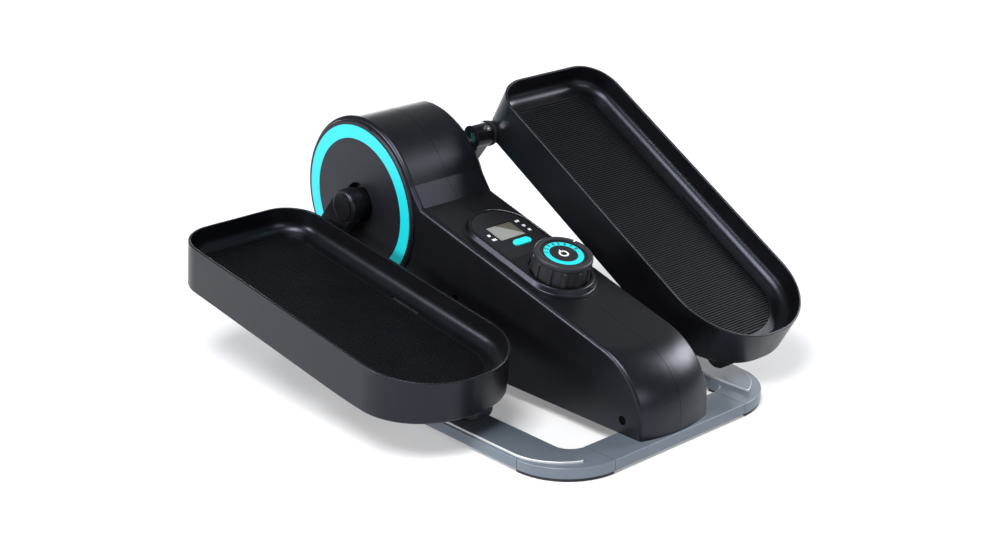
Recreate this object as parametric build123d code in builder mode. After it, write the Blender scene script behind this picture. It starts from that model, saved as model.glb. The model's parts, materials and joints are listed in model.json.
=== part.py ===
from build123d import *
from math import atan, cos, degrees, radians, sin
import os

os.makedirs("parts", exist_ok=True)

# Pedal exerciser for use under a desk. Millimetres, +Z up, +Y away from the user, +X to the user's right.
# The origin is on the floor, under the middle of the object's plan.

# ---------------------------------------------------------------- driving dimensions

# Base frame
base_half_width = 146.0
base_front = -245.3
base_rear = 215.3
base_bottom = 3.2
base_top = 13.3
bar_depth = 38.5
rail_inner = 103.3
corner_radius = 61.0
opening_radius = 18.0
seam_gap = 0.5
edge_round = 1.2
seam_x = base_half_width - corner_radius
front_seam = base_front + corner_radius
rear_seam = base_rear - corner_radius

# Track plates
track_inner = 107.0
track_inset = 2.5
track_thickness = 2.1
track_end = 178.0

# Body shell
drum_y = 157.3
drum_z = 144.6
drum_radius = 88.7
body_half_width = 46.0
nose_half_width = 43.8
wall = 3.0
neck_top = (77.7, 182.2)
crease = (61.5, 159.5)
slope = 0.283
slope_angle = degrees(atan(slope))
nose_y = -243.2
nose_bow = 8.0
nose_radius = 60.0
side_round = 4.0
body_rear = 217.3
body_bottom = base_top

# Drum covers and rings
cover_radius = 85.0
cover_face = 49.0
ring_outer = 80.5
ring_inner = 66.5
cover_hole = 21.0
cover_notch_angle = 106.0
cover_notch_width = 5.0
cover_notch_depth = 1.4

# Crank
crank_length = 84.4
right_crank_angle = 134.34
axle_radius = 8.5
hub_neck_radius = 15.0
neck_inner = 43.0
hub_radius = 17.5
hub_end = 69.5
arm_inner = 55.0
arm_outer = 68.5
boss_radius = 12.0
boss_inner = 52.0
boss_outer = 72.5
pin_radius = 6.0
pin_head_start = 112.6
pin_end = 115.0
pin_head_radius = 9.0
cap_radius = 13.2
cap_thickness = 1.2
running_clearance = 0.05

# Pedals
pedal_x = 148.5
tray_width = 149.5
tray_length = 374.6
toe_radius = 37.2
heel_radius = 69.9
tray_depth = 48.3
heel_rise_start = 255.0
heel_rise_radius = 800.0
cove_radius = 11.0
rim_width = 2.5
mat_depth = 25.3
mat_inset = 21.6
mat_thickness = 2.0
floor_thickness = 3.0
pin_behind_toe = 20.6
pin_below_rim = 47.5
wheel_behind_toe = 347.2
wheel_below_rim = 49.6
left_tilt = 8.49
right_tilt = 31.05

# Heel wheels
wheel_radius = 15.0
wheel_width = 18.0
wheel_x = 125.0
wheel_axle_radius = 3.0

# Drive train inside the body
pulley_radius = 66.0
pulley_rim = 8.0
pulley_hub_radius = 18.0
pulley_hole_radius = 12.0
pulley_x = 8.0
pulley_width = 12.0
flywheel_y = -17.7
flywheel_z = 66.0
flywheel_radius = 46.0
flywheel_near = -26.0
flywheel_far = -14.0
flywheel_hub_radius = 12.0
dish_depth = 4.0
small_pulley_radius = 12.0
belt_thickness = 2.0
belt_clearance = 0.3
flywheel_axle_radius = 5.0
plate_inner = 38.0
plate_thickness = 2.5
plate_outer = plate_inner + plate_thickness

# Console, measured along the slope from the crease
panel_radius = 30.5
panel_top = 38.0
panel_end = 115.0
pod_height = 6.3
pod_base_radius = 36.0
pod_top_radius = 33.6
flange_radius = 39.0
knob_s = 151.5
knob_radius = 29.0
knob_bottom = 4.2
knob_top = 26.8
rib_count = 12
rib_base = 27.2
rib_width = 3.8
rib_top = 20.6
window_centre = 73.5
window_x = -0.5
window_width = 32.4
window_height = 25.0
button_s = 96.0
button_x = 1.0
button_length = 21.0
button_width = 9.0

sides = {"left": -1, "right": 1}
slope_plane = Plane(
    origin=(0, crease[0], crease[1]),
    x_dir=(1, 0, 0),
    z_dir=(0, -sin(radians(slope_angle)), cos(radians(slope_angle))),
)


def save(part, name):
    """Label a finished piece and write it as its own STEP file."""
    part.label = name
    export_step(part, f"parts/{name}.step")


def side_plane(x):
    """A plane across the object at x. Its own x runs along +Y and its y along +Z."""
    return Plane(origin=(x, 0, 0), x_dir=(0, 1, 0), z_dir=(1, 0, 0))


def disc(x_from, x_to, y, z, radius, hole=0.0):
    """A round solid along X, with an optional hole through it."""
    low = min(x_from, x_to)
    with BuildPart() as round_part:
        with BuildSketch(side_plane(low)):
            with Locations((y, z)):
                Circle(radius)
                if hole:
                    Circle(hole, mode=Mode.SUBTRACT)
        extrude(amount=abs(x_to - x_from))
    return round_part.part


# ---------------------------------------------------------------- base frame

base_length = base_rear - base_front
base_middle = (base_rear + base_front) / 2
opening_length = base_length - 2 * bar_depth

with BuildPart() as base_ring:
    with BuildSketch(Plane.XY.offset(base_bottom)):
        with Locations((0, base_middle)):
            RectangleRounded(2 * base_half_width, base_length, corner_radius)
            RectangleRounded(2 * rail_inner, opening_length, opening_radius, mode=Mode.SUBTRACT)
    extrude(amount=base_top - base_bottom)
    fillet(base_ring.edges().group_by(Axis.Z)[-1], edge_round)


def cut_base(x_min, x_max, y_min, y_max):
    """The part of the base ring inside a window, pulled back by half a seam gap."""
    half = seam_gap / 2
    with BuildPart() as piece:
        add(base_ring.part)
        with BuildSketch(Plane.XY):
            with Locations(((x_min + x_max) / 2, (y_min + y_max) / 2)):
                Rectangle(x_max - x_min - 2 * half, y_max - y_min - 2 * half)
        extrude(amount=2 * base_top, mode=Mode.INTERSECT)
    return piece.part


base_screw_x = 32.0
base_screw_ys = (base_front + bar_depth / 2, base_rear - bar_depth / 2)
screw_radius = 2.4
screw_hole = 2.5
screw_head = 4.5
counterbore = 3.2
counterbore_radius = 4.6
head_recess = 0.3
outside = 10.0

for name, y_min, y_max, screw_y in (
    ("front_bar", base_front - outside, front_seam, base_screw_ys[0]),
    ("rear_bar", rear_seam, base_rear + outside, base_screw_ys[1]),
):
    with BuildPart() as bar:
        add(cut_base(-seam_x, seam_x, y_min, y_max))
        with BuildSketch(Plane.XY.offset(base_bottom)):
            with Locations((-base_screw_x, screw_y), (base_screw_x, screw_y)):
                Circle(screw_hole)
        extrude(amount=base_top, mode=Mode.SUBTRACT)
        with BuildSketch(Plane.XY.offset(base_bottom)):
            with Locations((-base_screw_x, screw_y), (base_screw_x, screw_y)):
                Circle(counterbore_radius)
        extrude(amount=counterbore, mode=Mode.SUBTRACT)
    save(bar.part, name)

for side, sign in sides.items():
    x_near, x_far = sorted((sign * seam_x, sign * (base_half_width + outside)))
    rail = cut_base(x_near, x_far, front_seam, rear_seam)
    save(rail, f"{side}_rail")

for name, y_min, y_max in (
    ("front_corners", base_front - outside, front_seam),
    ("rear_corners", rear_seam, base_rear + outside),
):
    with BuildPart() as corners:
        for sign in sides.values():
            x_near, x_far = sorted((sign * seam_x, sign * (base_half_width + outside)))
            add(cut_base(x_near, x_far, y_min, y_max))
    save(corners.part, name)

# Four rubber pads under the corner modules, all the object rests on.
pad_inset = 0.6
with BuildPart() as corner_pads:
    with BuildSketch(Plane.XY):
        with Locations((0, base_middle)):
            RectangleRounded(
                2 * (base_half_width - pad_inset), base_length - 2 * pad_inset, corner_radius - pad_inset
            )
            RectangleRounded(
                2 * (rail_inner + pad_inset),
                opening_length + 2 * pad_inset,
                opening_radius,
                mode=Mode.SUBTRACT,
            )
            Rectangle(2 * seam_x + 2, 2 * base_length, mode=Mode.SUBTRACT)
            Rectangle(4 * base_half_width, base_length - 2 * corner_radius - 2, mode=Mode.SUBTRACT)
    extrude(amount=base_bottom)
    fillet(corner_pads.edges().group_by(Axis.Z)[0], 1.0)
save(corner_pads.part, "corner_pads")

# Track plates for the heel wheels. Their outer edge follows the corner at a constant inset.
track_front_inset = 11.0
with BuildPart() as track_plates:
    with BuildSketch(Plane.XY.offset(base_top)):
        with Locations((0, base_middle)):
            RectangleRounded(
                2 * (base_half_width - track_inset),
                base_length - 2 * track_front_inset,
                corner_radius - track_inset,
            )
        with Locations((0, (base_front + track_end) / 2)):
            Rectangle(2 * base_half_width, track_end - base_front, mode=Mode.INTERSECT)
        with Locations((0, base_middle)):
            Rectangle(2 * track_inner, 2 * base_length, mode=Mode.SUBTRACT)
    extrude(amount=track_thickness)
    tips = track_plates.edges().filter_by(Axis.Z).group_by(Axis.Y)[0]
    fillet(tips, 2.0)
    fillet(track_plates.edges().group_by(Axis.Z)[-1], 0.8)
save(track_plates.part, "track_plates")

# ---------------------------------------------------------------- body shell

profile_front = nose_y - 5.0
profile_corner = (profile_front, crease[1] - slope * (crease[0] - profile_front))


def body_outline(inset):
    """The side profile of the body, as a sketch across X, drawn in by inset."""
    with BuildSketch(side_plane(0)) as outline:
        with BuildLine():
            Polyline(
                (body_rear, body_bottom),
                (profile_front, body_bottom),
                profile_corner,
                crease,
                neck_top,
                (drum_y, drum_z + 20),
                (body_rear, drum_z - 50),
                close=True,
            )
        make_face()
        with Locations((drum_y, drum_z)):
            Circle(drum_radius)
        if inset:
            offset(amount=-inset, kind=Kind.INTERSECTION)
    return outline.sketch


def body_plan(inset):
    """The body seen from above: straight sides that draw in a little to a bowed nose."""
    front = nose_y + inset
    rear = body_rear + 50.0 - inset
    half_rear = body_half_width - inset
    half_nose = nose_half_width - inset
    with BuildSketch(Plane.XY) as plan:
        with BuildLine():
            Polyline(
                (-half_nose, front + nose_bow),
                (-half_rear, crease[0]),
                (-half_rear, rear),
                (half_rear, rear),
                (half_rear, crease[0]),
                (half_nose, front + nose_bow),
            )
            ThreePointArc(
                (-half_nose, front + nose_bow),
                (0, front),
                (half_nose, front + nose_bow),
            )
        make_face()
    return plan.sketch


def body_form(inset):
    """The body as a solid, drawn in by inset, with its nose rounded over the top."""
    with BuildPart() as form:
        extrude(body_outline(inset), amount=60.0, both=True)
        extrude(body_plan(inset), amount=300.0, mode=Mode.INTERSECT)
        front = form.edges().filter_by(lambda e: e.center().Y < nose_y + inset + 1 and abs(e.center().X) < 1)
        fillet(front.sort_by(Axis.Z)[-1], nose_radius - inset)
    return form.part


hub_hole_radius = 70.0
screw_places = ((-212.8, 27.0), (13.6, 80.3), (190.0, 40.0), (100.0, 36.0))
recess_radius = 4.4
recess_post = 6.6
recess_floor = 1.2
thread_radius = 2.1
housing_head_radius = 4.0
housing_head_height = 1.8
battery_y = -140.0
battery_length = 62.0
battery_width = 36.0

# The shell is one hollow form until it is parted on the centre plane.
with BuildPart() as shell:
    add(body_form(0))
    side_edges = shell.edges().filter_by(lambda e: abs(e.center().X) > 40 and e.center().Z > body_bottom + 1)
    fillet(side_edges, side_round)
    add(body_form(wall), mode=Mode.SUBTRACT)
    with BuildSketch(side_plane(0)):
        with Locations((drum_y, drum_z)):
            Circle(hub_hole_radius)
    extrude(amount=60.0, both=True, mode=Mode.SUBTRACT)
    # Posts behind the side screws reach in to the frame plates.
    for sign in sides.values():
        with BuildSketch(side_plane(sign * plate_outer)):
            with Locations(*screw_places):
                Circle(recess_post)
        extrude(amount=sign * 3.5)
    for sign in sides.values():
        with BuildSketch(side_plane(sign * (plate_outer + recess_floor))):
            with Locations(*screw_places):
                Circle(recess_radius)
        extrude(amount=sign * 10.0, mode=Mode.SUBTRACT)
        with BuildSketch(side_plane(sign * plate_outer)):
            with Locations(*screw_places):
                Circle(screw_hole)
        extrude(amount=sign * 5.0, mode=Mode.SUBTRACT)
    # Openings for the display, the knob spindle, the base screws and the battery door.
    with BuildSketch(slope_plane.offset(-10.0)):
        with Locations((0, -76.0)):
            Rectangle(46.0, 62.0)
        with Locations((0, -knob_s)):
            Circle(14.0)
    extrude(amount=20.0, mode=Mode.SUBTRACT)
    with BuildSketch(Plane.XY.offset(body_bottom - 1)):
        for screw_y in base_screw_ys:
            with Locations((-base_screw_x, screw_y), (base_screw_x, screw_y)):
                Circle(screw_hole)
        with Locations((0, battery_y)):
            Rectangle(battery_width, battery_length)
    extrude(amount=wall + 2.0, mode=Mode.SUBTRACT)

seam_half = 0.15
for side, sign in sides.items():
    with BuildPart() as housing:
        add(shell.part)
        with BuildSketch(side_plane(sign * seam_half)):
            with Locations((0, 130)):
                Rectangle(600, 400)
        extrude(amount=sign * 80.0, mode=Mode.INTERSECT)
    save(housing.part, f"{side}_housing")

# Round covers over the drum, each with a groove for its coloured ring.
ring_seat = 48.0
ring_face = 49.3
for side, sign in sides.items():
    with BuildPart() as cover:
        with BuildSketch(side_plane(sign * body_half_width)):
            with Locations((drum_y, drum_z)):
                Circle(cover_radius)
                Circle(cover_hole, mode=Mode.SUBTRACT)
        extrude(amount=sign * (cover_face - body_half_width))
        rim = cover.edges().filter_by(GeomType.CIRCLE).sort_by(SortBy.RADIUS)[-2:]
        fillet(rim.sort_by(lambda e: abs(e.center().X))[-1], 2.2)
        with BuildSketch(side_plane(sign * (body_half_width - wall))):
            with Locations((drum_y, drum_z)):
                Circle(hub_hole_radius - 0.3)
                Circle(hub_hole_radius - 4.0, mode=Mode.SUBTRACT)
        extrude(amount=sign * wall)
        with BuildSketch(side_plane(sign * ring_seat)):
            with Locations((drum_y, drum_z)):
                Circle(ring_outer)
                Circle(ring_inner, mode=Mode.SUBTRACT)
        extrude(amount=sign * 5.0, mode=Mode.SUBTRACT)
        # A small release notch in the rim.
        with BuildSketch(side_plane(sign * (cover_face - 1.5))):
            with Locations((drum_y, drum_z)):
                with PolarLocations(cover_radius, 1, start_angle=cover_notch_angle):
                    Rectangle(2 * cover_notch_depth, cover_notch_width)
        extrude(amount=sign * 3.0, mode=Mode.SUBTRACT)
    save(cover.part, f"{side}_drum_cover")

with BuildPart() as accent_rings:
    for sign in sides.values():
        add(disc(sign * ring_seat, sign * ring_face, drum_y, drum_z, ring_outer - 0.1, ring_inner + 0.1))
    fillet(accent_rings.edges().filter_by(lambda e: abs(abs(e.center().X) - ring_face) < 0.01), 0.25)
save(accent_rings.part, "accent_rings")

# ---------------------------------------------------------------- console on the slope

pod_top_s = panel_top + panel_radius


def stadium(radius, top_s, end_s):
    """A slot-shaped sketch outline along the slope between two centres."""
    with BuildSketch(Plane.XY) as shape:
        with Locations((0, -top_s), (0, -end_s)):
            Circle(radius)
        with Locations((0, -(top_s + end_s) / 2)):
            Rectangle(2 * radius, end_s - top_s)
    return shape.sketch


def panel_outline(grow):
    """The display panel: a half-round upper end and a straight lower edge."""
    radius = panel_radius + grow
    with BuildSketch(Plane.XY) as shape:
        with Locations((0, -pod_top_s)):
            Circle(radius)
        with Locations((0, -(pod_top_s + panel_end + grow) / 2)):
            Rectangle(2 * radius, panel_end + grow - pod_top_s)
    return shape.sketch


panel_seat = 4.3
panel_thickness = 1.6
panel_groove = 0.6
pod_step = 1.0
pod_edge_round = 1.6
pod_taper = degrees(atan((pod_base_radius - pod_top_radius) / pod_height))
flange_height = 0.6
flange_blend = 2.0
knob_recess_radius = 30.6
knob_recess_floor = 3.5
slope_axis = Axis(slope_plane.origin, slope_plane.z_dir)
slope_up = tuple(slope_plane.z_dir)
spindle_hole = 9.0
with BuildPart() as console_pod:
    add(stadium(pod_base_radius, pod_top_s, knob_s).moved(slope_plane.location))
    extrude(amount=pod_height, dir=slope_up, taper=pod_taper)
    fillet(console_pod.faces().sort_by(slope_axis)[-1].edges(), pod_edge_round)
    add(stadium(flange_radius, pod_top_s, knob_s).moved(slope_plane.location))
    extrude(amount=flange_height, dir=slope_up)
    step = slope_plane.origin + slope_plane.z_dir * flange_height
    flange_face = console_pod.faces().filter_by(lambda f: abs((f.center() - step).dot(slope_plane.z_dir)) < 0.01)
    fillet(flange_face[0].inner_wires()[0].edges(), flange_blend)
    add(panel_outline(panel_groove).moved(slope_plane.offset(panel_seat).location))
    extrude(amount=5.0, dir=slope_up, mode=Mode.SUBTRACT)
    with BuildSketch(slope_plane.offset(knob_recess_floor)):
        with Locations((0, -knob_s)):
            Circle(knob_recess_radius)
    extrude(amount=5.0, mode=Mode.SUBTRACT)
    with BuildSketch(slope_plane.offset(-pod_step)):
        with Locations((0, -76.0)):
            Rectangle(44.0, 58.0)
        with Locations((0, -knob_s)):
            Circle(spindle_hole)
    extrude(amount=10.0, mode=Mode.SUBTRACT)
save(console_pod.part, "console_pod")

with BuildPart() as display_panel:
    add(panel_outline(0).moved(slope_plane.offset(panel_seat).location))
    extrude(amount=panel_thickness, dir=slope_up)
    with BuildSketch(slope_plane.offset(panel_seat)):
        with Locations((window_x, -window_centre)):
            Rectangle(window_width, window_height)
        with Locations((button_x, -button_s)):
            SlotOverall(button_length + 0.6, button_width + 0.6)
    extrude(amount=5.0, mode=Mode.SUBTRACT)
save(display_panel.part, "display_panel")

# The clear window stands on the module and fills the panel's opening.
window_bottom = 4.6
window_thickness = 1.0
board_top = -5.6
board_thickness = 1.6
module_top = 4.0
with BuildPart() as display_window:
    with BuildSketch(slope_plane.offset(window_bottom)):
        with Locations((window_x, -window_centre)):
            Rectangle(window_width - 0.2, window_height - 0.2)
    extrude(amount=window_thickness)
save(display_window.part, "display_window")

with BuildPart() as display_module:
    with BuildSketch(slope_plane.offset(board_top)):
        with Locations((window_x, -window_centre)):
            Rectangle(38.0, 30.0)
    extrude(amount=module_top - board_top)
    with BuildSketch(slope_plane.offset(module_top)):
        with Locations((window_x, -window_centre)):
            Rectangle(window_width - 1.0, window_height - 1.0)
    extrude(amount=window_bottom - module_top)
save(display_module.part, "display_module")

switch_height = 4.4
with BuildPart() as circuit_board:
    with BuildSketch(slope_plane.offset(board_top)):
        with Locations((0, -78.0)):
            Rectangle(44.0, 54.0)
    extrude(amount=-board_thickness)
    # The switch under the button, and two chips on the far face.
    with BuildSketch(slope_plane.offset(board_top)):
        with Locations((button_x, -button_s)):
            Rectangle(6.0, 6.0)
    extrude(amount=switch_height)
    with BuildSketch(slope_plane.offset(board_top - board_thickness)):
        with Locations((8.0, -70.0), (-12.0, -88.0)):
            Rectangle(8.0, 6.0)
    extrude(amount=-1.8)
save(circuit_board.part, "circuit_board")

# The button stands on a stem that ends one travel, and a little more, above the switch.
button_travel = 0.8
button_bottom = 1.3
button_top = 7.6
stem_end = board_top + switch_height + button_travel + 0.2
with BuildPart() as mode_button:
    with BuildSketch(slope_plane.offset(button_bottom)):
        with Locations((button_x, -button_s)):
            SlotOverall(button_length, button_width)
    extrude(amount=button_top - button_bottom)
    fillet(mode_button.faces().sort_by(slope_axis)[-1].edges(), 0.9)
    with BuildSketch(slope_plane.offset(button_bottom)):
        with Locations((button_x, -button_s)):
            Rectangle(5.0, 5.0)
    extrude(amount=stem_end - button_bottom)
save(mode_button.part, "mode_button")

# The knob: a fluted cup that turns round the post of its fixed dial.
dial_radius = 22.0
dial_seat = 23.7
post_radius = 4.5
knob_centre = slope_plane.from_local_coords((0, -knob_s, 0))
knob_plane = Plane(origin=knob_centre, x_dir=slope_plane.x_dir, z_dir=slope_plane.z_dir)
dial_thickness = 1.6
spool_top = -10.0
spool_bottom = -20.0
spool_radius = 12.0
pointer_angle = 90.0 - 65.7
knob_web = 3.0
knob_cup_radius = 26.0
knob_stem_radius = 8.0
with BuildPart() as resistance_knob:
    with BuildSketch(knob_plane.offset(knob_bottom)):
        Circle(rib_base)
    extrude(amount=knob_top - knob_bottom)
    fillet(resistance_knob.faces().sort_by(slope_axis)[-1].edges(), 2.0)
    # Finger ribs stand on the side and stop short of the top.
    with BuildSketch(knob_plane.offset(knob_bottom)):
        Circle(knob_radius)
        Circle(rib_base, mode=Mode.SUBTRACT)
        with PolarLocations(knob_radius, rib_count, start_angle=pointer_angle):
            Rectangle(3 * (knob_radius - rib_base), rib_width, mode=Mode.INTERSECT)
    extrude(amount=rib_top - knob_bottom)
    with BuildSketch(knob_plane.offset(dial_seat - 0.5)):
        Circle(dial_radius + 0.5)
    extrude(amount=10.0, mode=Mode.SUBTRACT)
    with BuildSketch(knob_plane.offset(knob_bottom)):
        Circle(knob_cup_radius)
        Circle(knob_stem_radius, mode=Mode.SUBTRACT)
    extrude(amount=dial_seat - 0.5 - knob_web - knob_bottom, mode=Mode.SUBTRACT)
    with BuildSketch(knob_plane.offset(knob_bottom)):
        Circle(knob_stem_radius)
    extrude(amount=spool_top - knob_bottom)
    with BuildSketch(knob_plane.offset(-30.0)):
        Circle(post_radius + running_clearance)
    extrude(amount=60.0, mode=Mode.SUBTRACT)
    with BuildSketch(knob_plane.offset(knob_top - 1.2)):
        with PolarLocations(25.8, 1, start_angle=pointer_angle):
            Rectangle(6.0, 1.8)
    extrude(amount=3.0, mode=Mode.SUBTRACT)
save(resistance_knob.part, "resistance_knob")

with BuildPart() as knob_dial:
    with BuildSketch(knob_plane.offset(dial_seat)):
        Circle(dial_radius)
    extrude(amount=dial_thickness)
    with BuildSketch(knob_plane.offset(dial_seat)):
        Circle(post_radius)
    extrude(amount=-(dial_seat - spool_bottom + 4.0))
save(knob_dial.part, "knob_dial")

with BuildPart() as tension_spool:
    with BuildSketch(knob_plane.offset(spool_bottom)):
        Circle(spool_radius)
        Circle(post_radius + running_clearance, mode=Mode.SUBTRACT)
    extrude(amount=spool_top - spool_bottom)
    with BuildSketch(knob_plane.offset(spool_bottom + 3.5)):
        Circle(spool_radius + 1.0)
        Circle(spool_radius - 2.0, mode=Mode.SUBTRACT)
    extrude(amount=3.0, mode=Mode.SUBTRACT)
save(tension_spool.part, "tension_spool")

# The bracket under the slope carries the dial's post and stands on the frame plates.
with BuildPart() as dial_bracket:
    with BuildSketch(knob_plane.offset(spool_bottom - 4.0)):
        Rectangle(2 * plate_inner, 20.0)
        Circle(post_radius, mode=Mode.SUBTRACT)
    extrude(amount=3.0)
save(dial_bracket.part, "dial_bracket")

# ---------------------------------------------------------------- frame plates and shafts

with BuildSketch(side_plane(0)) as plate_outline:
    with Locations((drum_y, drum_z)):
        Circle(30.0)
    with Locations((flywheel_y, flywheel_z)):
        Circle(24.0)
    with Locations((-216.0, 26.5), (198.0, 26.5)):
        Circle(9.5)
    make_hull()

foot_top = body_bottom + wall + 2.5
foot_middle = 33.0
foot_length = 12.0
crank_bearing_radius = 14.0
bearing_inner = 36.0
bearing_outer = 42.0
flywheel_bearing_radius = 9.0
lightening = ((-150.0, 48.0, 14.0), (-85.0, 60.0, 18.0), (60.0, 95.0, 26.0), (110.0, 60.0, 16.0))
for side, sign in sides.items():
    with BuildPart() as plate:
        add(plate_outline.sketch.moved(Location((sign * plate_inner, 0, 0))))
        extrude(amount=plate_thickness, dir=(sign, 0, 0))
        with BuildSketch(side_plane(sign * plate_inner)):
            with Locations((drum_y, drum_z)):
                Circle(crank_bearing_radius)
            with Locations((flywheel_y, flywheel_z)):
                Circle(flywheel_bearing_radius)
            with Locations(*screw_places):
                Circle(thread_radius)
            for hole_y, hole_z, hole_radius in lightening:
                with Locations((hole_y, hole_z)):
                    Circle(hole_radius)
        extrude(amount=sign * plate_thickness, mode=Mode.SUBTRACT)
        for screw_y in base_screw_ys:
            with BuildSketch(Plane.XY.offset(body_bottom + wall)):
                with Locations((sign * (foot_middle + 0.1), screw_y)):
                    Rectangle(2 * (plate_inner - foot_middle) + 0.2, foot_length)
            extrude(amount=foot_top - body_bottom - wall)
            with BuildSketch(Plane.XY.offset(body_bottom)):
                with Locations((sign * base_screw_x, screw_y)):
                    Circle(screw_radius)
            extrude(amount=20.0, mode=Mode.SUBTRACT)
    save(plate.part, f"{side}_frame_plate")


with BuildPart() as crank_bearings:
    for sign in sides.values():
        x_from, x_to = sign * bearing_inner, sign * bearing_outer
        hole = axle_radius + running_clearance
        add(disc(x_from, x_to, drum_y, drum_z, crank_bearing_radius, hole))
save(crank_bearings.part, "crank_bearings")

with BuildPart() as flywheel_bearings:
    for sign in sides.values():
        x_from, x_to = sign * bearing_inner, sign * bearing_outer
        hole = flywheel_axle_radius + running_clearance
        add(disc(x_from, x_to, flywheel_y, flywheel_z, flywheel_bearing_radius, hole))
save(flywheel_bearings.part, "flywheel_bearings")

flywheel_axle = disc(-41.5, 41.5, flywheel_y, flywheel_z, flywheel_axle_radius)
save(flywheel_axle, "flywheel_axle")

with BuildPart() as flywheel:
    add(disc(flywheel_near, flywheel_far, flywheel_y, flywheel_z, flywheel_radius, flywheel_axle_radius))
    for face_x, depth in ((flywheel_near, dish_depth), (flywheel_far, -dish_depth)):
        with BuildSketch(side_plane(face_x)):
            with Locations((flywheel_y, flywheel_z)):
                Circle(flywheel_radius - 12.0)
                Circle(flywheel_hub_radius, mode=Mode.SUBTRACT)
        extrude(amount=depth, mode=Mode.SUBTRACT)
save(flywheel.part, "flywheel")

flange_radius = small_pulley_radius + 3.0
flange_thickness = 1.5
with BuildPart() as flywheel_pulley:
    for x_from, x_to, radius in (
        (pulley_x, pulley_x + pulley_width, small_pulley_radius),
        (pulley_x - flange_thickness, pulley_x, flange_radius),
        (pulley_x + pulley_width, pulley_x + pulley_width + flange_thickness, flange_radius),
    ):
        add(disc(x_from, x_to, flywheel_y, flywheel_z, radius, flywheel_axle_radius))
save(flywheel_pulley.part, "flywheel_pulley")

with BuildPart() as drive_pulley:
    add(disc(pulley_x, pulley_x + pulley_width, drum_y, drum_z, pulley_radius, axle_radius))
    for face_x, depth in ((pulley_x, dish_depth), (pulley_x + pulley_width, -dish_depth)):
        with BuildSketch(side_plane(face_x)):
            with Locations((drum_y, drum_z)):
                Circle(pulley_radius - pulley_rim)
                Circle(pulley_hub_radius, mode=Mode.SUBTRACT)
        extrude(amount=depth, mode=Mode.SUBTRACT)
    with BuildSketch(side_plane(pulley_x)):
        with Locations((drum_y, drum_z)):
            with PolarLocations(pulley_radius - 28.0, 6):
                Circle(pulley_hole_radius)
    extrude(amount=pulley_width, mode=Mode.SUBTRACT)
save(drive_pulley.part, "drive_pulley")

belt_inner_x = pulley_x + 1.0
belt_width = pulley_width - 2.0
with BuildPart() as drive_belt:
    for grow, mode in ((belt_clearance + belt_thickness, Mode.ADD), (belt_clearance, Mode.SUBTRACT)):
        with BuildSketch(side_plane(belt_inner_x)):
            with Locations((drum_y, drum_z)):
                Circle(pulley_radius + grow)
            with Locations((flywheel_y, flywheel_z)):
                Circle(small_pulley_radius + grow)
            make_hull()
        extrude(amount=belt_width, mode=mode)
save(drive_belt.part, "drive_belt")

with BuildPart() as pulley_magnet:
    with BuildSketch(side_plane(pulley_x + pulley_width)):
        with Locations((drum_y, drum_z + pulley_radius - 4.5)):
            Circle(3.0)
    extrude(amount=2.0)
save(pulley_magnet.part, "pulley_magnet")

# The sensor: a foot on the plate, an arm up to the magnet's radius, and a head that faces the pulley.
with BuildPart() as speed_sensor:
    with BuildSketch(side_plane(plate_inner)):
        with Locations((drum_y, drum_z + 24.0)):
            Rectangle(8.0, 8.0)
    extrude(amount=-4.0)
    with BuildSketch(side_plane(plate_inner - 4.0)):
        with Locations((drum_y, drum_z + 42.0)):
            Rectangle(8.0, 44.0)
    extrude(amount=-3.0)
    with BuildSketch(side_plane(plate_inner - 7.0)):
        with Locations((drum_y, drum_z + 59.0)):
            Rectangle(8.0, 10.0)
    extrude(amount=-6.5)
save(speed_sensor.part, "speed_sensor")

# ---------------------------------------------------------------- magnetic brake

bracket_inner = 52.0
bracket_outer = 54.5
bracket_x = -29.0
bracket_width = 18.0
pivot_reach = 53.2
pivot_boss = 6.0
magnet_thickness = 3.0
magnet_span = 18.0
bracket_start = 128.0
bracket_end = 230.0
pivot_radius = 3.0
pivot_y = flywheel_y + pivot_reach * cos(radians(bracket_start))
pivot_z = flywheel_z + pivot_reach * sin(radians(bracket_start))


def rim_band(inner, outer, start, end):
    """A curved strip round the flywheel's axis between two angles, across X."""
    reach = 2 * outer
    corners = [
        (flywheel_y + reach * cos(radians(angle)), flywheel_z + reach * sin(radians(angle)))
        for angle in (start, (start + end) / 2, end)
    ]
    with BuildSketch(side_plane(0)) as band:
        with Locations((flywheel_y, flywheel_z)):
            Circle(outer)
            Circle(inner, mode=Mode.SUBTRACT)
        with BuildLine():
            Polyline((flywheel_y, flywheel_z), *corners, close=True)
        make_face(mode=Mode.INTERSECT)
    return band.sketch


with BuildPart() as brake_bracket:
    strap = rim_band(bracket_inner, bracket_outer, bracket_start, bracket_end)
    add(strap.moved(Location((bracket_x, 0, 0))))
    extrude(amount=bracket_width, dir=(1, 0, 0))
    with BuildSketch(side_plane(bracket_x)):
        with Locations((pivot_y, pivot_z)):
            Circle(pivot_boss)
    extrude(amount=bracket_width)
    with BuildSketch(side_plane(bracket_x)):
        with Locations((pivot_y, pivot_z)):
            Circle(pivot_radius + running_clearance)
    extrude(amount=bracket_width, mode=Mode.SUBTRACT)
save(brake_bracket.part, "brake_bracket")

with BuildPart() as brake_magnets:
    for start in (150.0, 180.0, 208.0):
        magnet = rim_band(bracket_inner - magnet_thickness, bracket_inner, start, start + magnet_span)
        add(magnet.moved(Location((flywheel_near, 0, 0))))
        extrude(amount=flywheel_far - flywheel_near, dir=(1, 0, 0))
save(brake_magnets.part, "brake_magnets")

# Rods between the frame plates; the last is the brake bracket's pivot.
with BuildPart() as frame_rods:
    for rod_y, rod_z, rod_radius in (
        (-150.0, 78.0, 5.0),
        (60.0, 34.0, 5.0),
        (150.0, 44.0, 5.0),
        (pivot_y, pivot_z, pivot_radius),
    ):
        add(disc(-plate_inner, plate_inner, rod_y, rod_z, rod_radius))
save(frame_rods.part, "frame_rods")

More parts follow.
